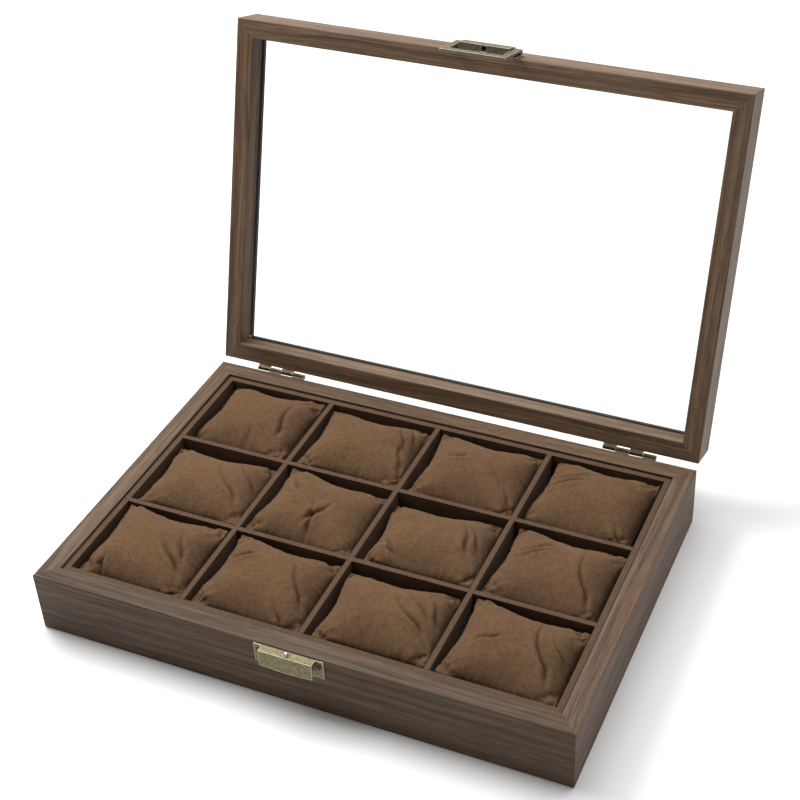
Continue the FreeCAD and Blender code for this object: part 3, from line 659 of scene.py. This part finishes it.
def wrinkle(points, normals, key, rng):
    """Moves the cloth in at its creases and ripples it around the corners and along the seam."""
    upper = np.clip(normals[:, 2] * 2.5 + 0.4, 0, 1)    # 1 on the upper cloth, 0 below
    inward = np.zeros(len(points))
    for crease in CREASES[key]:
        inward += valley(points, crease) * upper
    for side_x in (-1, 1):
        for side_y in (-1, 1):
            tip = np.array((side_x * PILLOW_WIDTH * CORNER_TIP, side_y * PILLOW_DEPTH * CORNER_TIP))
            offset = points[:, :2] - tip
            far = np.linalg.norm(offset, axis=1)
            angle = np.arctan2(offset[:, 1], offset[:, 0])
            folds = rng.randint(*CORNER_FOLDS)
            spread = np.exp(-((far - CORNER_FOLD_AT) / CORNER_FOLD_SPAN) ** 2)
            ripple = np.sin(angle * folds + rng.uniform(0, CIRCLE)) * spread
            inward += PUCKER_DEPTH * rng.uniform(0.7, 1.3) * ripple
    edge = np.maximum(np.abs(points[:, 0]) / (PILLOW_WIDTH / 2), np.abs(points[:, 1]) / (PILLOW_DEPTH / 2))
    run = np.where(np.abs(points[:, 0]) / PILLOW_WIDTH > np.abs(points[:, 1]) / PILLOW_DEPTH,
                   points[:, 1], points[:, 0])
    uneven = 1.8 * np.sin(run * 0.31 + rng.uniform(0, CIRCLE))
    gather = np.sin(run * 1.15 + uneven + rng.uniform(0, CIRCLE))
    inward += SEAM_SHARE * PUCKER_DEPTH * gather * np.exp(-((edge - SEAM_AT) / SEAM_SPAN) ** 2)
    return points - normals * inward[:, None]


def vertex_normals(mesh):
    flat = np.zeros(len(mesh.vertices) * 3)
    mesh.vertices.foreach_get("normal", flat)
    return flat.reshape(-1, 3)


def subdivide(piece, levels):
    modifier = piece.modifiers.new("smooth", "SUBSURF")
    modifier.levels = modifier.render_levels = levels
    graph = bpy.context.evaluated_depsgraph_get()
    finer = bpy.data.meshes.new_from_object(piece.evaluated_get(graph))
    piece.modifiers.clear()
    piece.data = finer


def stuff(points):
    """Brings a filled bag to its size and rounds it out: full behind its seam, its sides bulged between
    the corners and the corners lifted."""
    points -= (points.max(0) + points.min(0)) / 2
    half = (points.max(0) - points.min(0)) / 2
    points[:, 0] *= PILLOW_WIDTH / 2 / half[0]
    points[:, 1] *= PILLOW_DEPTH / 2 / half[1]
    top, bottom = points[:, 2].max(), -points[:, 2].min()
    share = np.where(points[:, 2] > 0, points[:, 2] / top, -points[:, 2] / bottom)
    fuller = 1 - (1 - np.clip(share, 0, 1)) ** FULLNESS
    u = points[:, 0] / (PILLOW_WIDTH / 2)
    v = points[:, 1] / (PILLOW_DEPTH / 2)
    bulge = SIDE_BULGE * np.sin(np.pi * np.clip(fuller, 0, 1) ** 0.8)
    points[:, 0] += bulge * np.sign(u) * np.abs(u) ** 3 * np.clip(1 - v ** 2, 0, 1)
    points[:, 1] += bulge * np.sign(v) * np.abs(v) ** 3 * np.clip(1 - u ** 2, 0, 1)
    points[:, 2] = np.where(points[:, 2] > 0, fuller * TOP_HEIGHT, -fuller * BOTTOM_HEIGHT)
    points[:, 2] += CORNER_LIFT * np.clip(np.abs(u * v), 0, 1) ** 2
    return points


def clear_of_walls(points):
    """Rounds the bag off where it would touch the walls of its cell."""
    for axis, room in enumerate(ROOM):
        inner = room - WALL_REACH
        over = np.abs(points[:, axis]) - inner
        pressed = inner + WALL_REACH * np.tanh(np.maximum(over, 0) / WALL_REACH)
        points[:, axis] = np.where(over > 0, np.sign(points[:, axis]) * pressed, points[:, axis])
    return points


def flattened(height, floor):
    """Heights with the cloth that is near or under the floor laid flat on it."""
    curve = FLATTEN_CURVE * np.exp(-np.abs(height - floor) / FLATTEN_CURVE)
    return np.where(height < floor + FLATTEN_BELOW, np.maximum(height, floor) + curve - FLATTEN_TRIM, height)


def seat_pillow(bag, node, key, rng):
    """Shapes a filled bag to its cell: size, creases and posture, and clear of the walls."""
    iron(bag.data)
    points = points_of(bag.data)
    if sum(key) % 2:            # every other bag lies turned end for end
        points[:, :2] *= -1
    set_points(bag.data, stuff(points))
    subdivide(bag, 1)

    points = wrinkle(points_of(bag.data), vertex_normals(bag.data), key, rng)
    turn, lean_back, lean_right, shift_right, shift_back, rise = POSTURES[key]
    posture = (Matrix.Rotation(math.radians(turn), 3, "Z")
               @ Matrix.Rotation(math.radians(lean_back), 3, "X")
               @ Matrix.Rotation(math.radians(lean_right), 3, "Y"))
    points = clear_of_walls(points @ np.array(posture).T + np.array((shift_right, shift_back, 0)))
    low, high = (np.array(corner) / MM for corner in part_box(node))
    floor = low[2] + FLOOR_AIR
    points[:, 2] = flattened(points[:, 2] + floor + BOTTOM_HEIGHT + rise, floor)
    points[:, 0] += (low[0] + high[0]) / 2
    points[:, 1] += (low[1] + high[1]) / 2
    set_points(bag.data, points * MM)
    for face in bag.data.polygons:
        face.use_smooth = True


def make_pillows():
    suede = napped_cloth("pillow_suede", (0.060, 0.032, 0.016), (0.176, 0.098, 0.051), 0.10)
    bags, seams = {}, []
    for key in POSTURES:
        row, column = key
        bags[key], seam = flat_bag(f"cushion_r{row}_c{column}", BAG_SEED + 10 * row + column)
        seams.append(seam)
    fill_bags(list(bags.values()), seams)
    for (row, column), bag in bags.items():
        node = f"pillow_r{row}_c{column}"
        seat_pillow(bag, node, (row, column), random.Random(WRINKLE_SEED + 10 * row + column))
        bag.data.materials.append(suede)
        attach(bag, frame["nodes"][node]["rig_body"])
        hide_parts(node)


# ---------------------------------------------------------------- floor

def make_floor():
    low, high = cad_box
    mesh = bpy.data.meshes.new("studio_floor")
    reach = FLOOR_SIZE / 2
    corners = [(-reach, -reach, low.z), (reach, -reach, low.z), (reach, reach, low.z), (-reach, reach, low.z)]
    mesh.from_pydata(corners, [], [(0, 1, 2, 3)])
    mesh.materials.append(studio_floor())
    floor = bpy.data.objects.new("studio_floor", mesh)
    SCENE.collection.objects.link(floor)


make_camera()
make_lights()
dress_boards()
dress_rest()
make_pillows()
make_floor()

bpy.context.view_layer.update()
